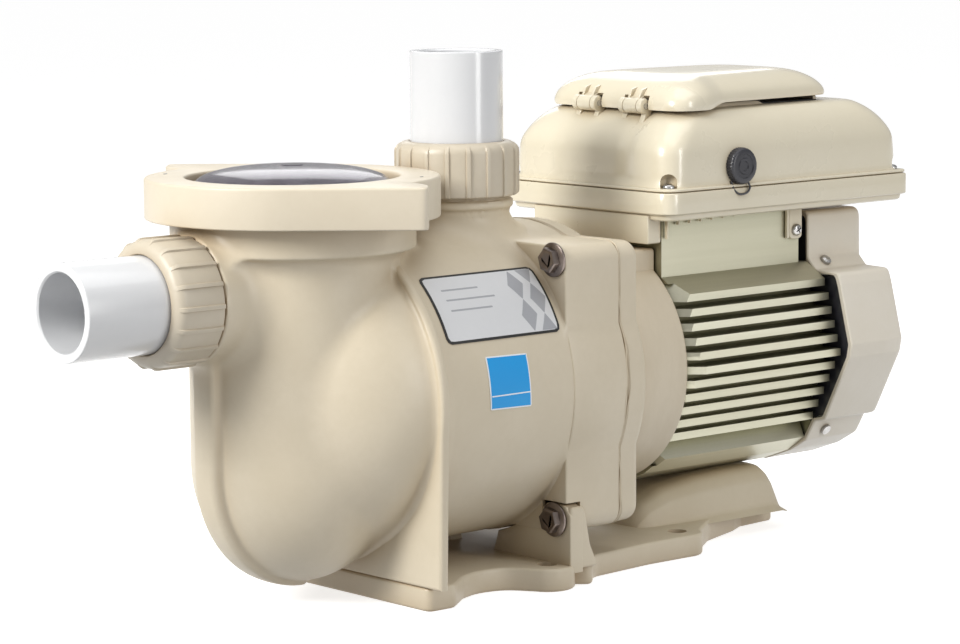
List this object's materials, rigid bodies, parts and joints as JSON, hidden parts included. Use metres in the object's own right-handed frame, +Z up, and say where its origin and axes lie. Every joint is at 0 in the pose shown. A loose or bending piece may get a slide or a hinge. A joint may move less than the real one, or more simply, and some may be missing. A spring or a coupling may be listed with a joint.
{
  "type": "pool pump",
  "caption": "Pool pump with a strainer pot, union pipe ends, a finned motor and a speed drive with a flip lid.",
  "frame": {"origin": "on the floor, at the underside of the foot, straight below the axis of the discharge pipe", "axes": "+X runs along the shaft from the strainer pot towards the fan; +Z is up"},
  "size_m": [0.662, 0.246, 0.3405],
  "materials": {
    "housing_plastic": "moulded, fine grain",
    "white_pvc": "glossy",
    "painted_metal": "powder coat",
    "bare_aluminium": "brushed extrusion",
    "steel": "plain",
    "black_rubber": "smooth",
    "black_plastic": "moulded",
    "smoked_clear": "clear, smoke grey",
    "off_white_plastic": "moulded",
    "board_green": "lacquered"
  },
  "bodies": {
    "pump": {"bearing_front": "steel", "bearing_rear": "steel", "bracket_screw_1": "steel", "bracket_screw_2": "steel", "control_board": "board_green", "cover_screw_1": "steel", "cover_screw_2": "steel", "cover_screw_3": "steel", "cover_screw_4": "steel", "diffuser": "black_plastic", "diffuser_o_ring": "black_rubber", "discharge_o_ring": "black_rubber", "discharge_tailpiece": "white_pvc", "display": "smoked_clear", "drive_cover": "painted_metal", "drive_screw_1": "steel", "drive_screw_2": "steel", "drive_screw_3": "steel", "drive_screw_4": "steel", "drive_tray": "painted_metal", "fan_cover": "painted_metal", "flange_bolt_1": "steel", "flange_bolt_2": "steel", "flange_bolt_3": "steel", "flange_bolt_4": "steel", "foot": "housing_plastic", "hinge_pin_1": "steel", "hinge_pin_2": "steel", "keypad_panel": "black_plastic", "motor_bell": "painted_metal", "motor_frame": "bare_aluminium", "pump_housing": "housing_plastic", "rear_bell": "painted_metal", "seal_plate": "housing_plastic", "seal_plate_o_ring": "black_rubber", "seal_stationary": "off_white_plastic", "stator": "steel", "suction_o_ring": "black_rubber", "suction_tailpiece": "white_pvc"},
    "shaft_line": {"shaft": "steel", "rotor": "bare_aluminium", "impeller": "off_white_plastic", "impeller_screw": "steel", "seal_rotating": "black_plastic", "seal_spring": "steel", "cooling_fan": "black_plastic"},
    "lid": {"pot_lid": "smoked_clear", "lid_o_ring": "black_rubber"},
    "ring": {"clamp_ring": "housing_plastic"},
    "basket": {"strainer_basket": "white_pvc"},
    "suction_union": {"suction_nut": "housing_plastic"},
    "discharge_union": {"discharge_nut": "housing_plastic"},
    "pot_drain": {"drain_plug_1": "black_plastic"},
    "volute_drain": {"drain_plug_2": "black_plastic"},
    "drive_flap": {"drive_lid": "painted_metal"},
    "cable_port_cap": {"port_cap": "black_plastic"},
    "key_1": {"button_1": "off_white_plastic"},
    "key_2": {"button_2": "off_white_plastic"},
    "key_3": {"button_3": "off_white_plastic"},
    "key_4": {"button_4": "off_white_plastic"}
  },
  "joints": [
    {"name": "shaft_spin", "type": "hinge", "parent": "pump", "child": "shaft_line", "pos_m": [0, 0, 0.127], "axis": [1, 0, 0], "continuous": true},
    {"name": "lid_lift", "type": "slide", "parent": "pump", "child": "lid", "axis": [0, 0, 1], "range_m": [0, 0.4]},
    {"name": "ring_turn", "type": "hinge", "parent": "lid", "child": "ring", "pos_m": [-0.135, 0, 0], "axis": [0, 0, 1], "range_deg": [0, 20]},
    {"name": "basket_lift", "type": "slide", "parent": "pump", "child": "basket", "axis": [0, 0, 1], "range_m": [0, 0.2]},
    {"name": "suction_nut_turn", "type": "hinge", "parent": "pump", "child": "suction_union", "pos_m": [-0.24, 0, 0.197], "axis": [1, 0, 0], "continuous": true},
    {"name": "discharge_nut_turn", "type": "hinge", "parent": "pump", "child": "discharge_union", "pos_m": [0, 0, 0.26], "axis": [0, 0, 1], "continuous": true},
    {"name": "pot_drain_turn", "type": "hinge", "parent": "pump", "child": "pot_drain", "pos_m": [-0.135, 0.06, 0.045], "axis": [0, 1, 0], "continuous": true},
    {"name": "volute_drain_turn", "type": "hinge", "parent": "pump", "child": "volute_drain", "pos_m": [-0.03, 0.09, 0.078], "axis": [0, 1, 0], "continuous": true},
    {"name": "drive_lid_open", "type": "hinge", "parent": "pump", "child": "drive_flap", "pos_m": [0.1385, 0, 0.2992], "axis": [0, -1, 0], "range_deg": [0, 110]},
    {"name": "port_cap_turn", "type": "hinge", "parent": "pump", "child": "cable_port_cap", "pos_m": [0.186, -0.078, 0.259], "axis": [0, -1, 0], "continuous": true},
    {"name": "key_1_press", "type": "slide", "parent": "pump", "child": "key_1", "axis": [0, 0, -1], "range_m": [0, 0.0014], "stiffness_N_per_m": 900},
    {"name": "key_2_press", "type": "slide", "parent": "pump", "child": "key_2", "axis": [0, 0, -1], "range_m": [0, 0.0014], "stiffness_N_per_m": 900},
    {"name": "key_3_press", "type": "slide", "parent": "pump", "child": "key_3", "axis": [0, 0, -1], "range_m": [0, 0.0014], "stiffness_N_per_m": 900},
    {"name": "key_4_press", "type": "slide", "parent": "pump", "child": "key_4", "axis": [0, 0, -1], "range_m": [0, 0.0014], "stiffness_N_per_m": 900}
  ],
  "couplings": [
    {"joint": "basket_lift", "follows": "lid_lift", "ratio": 0.5}
  ]
}
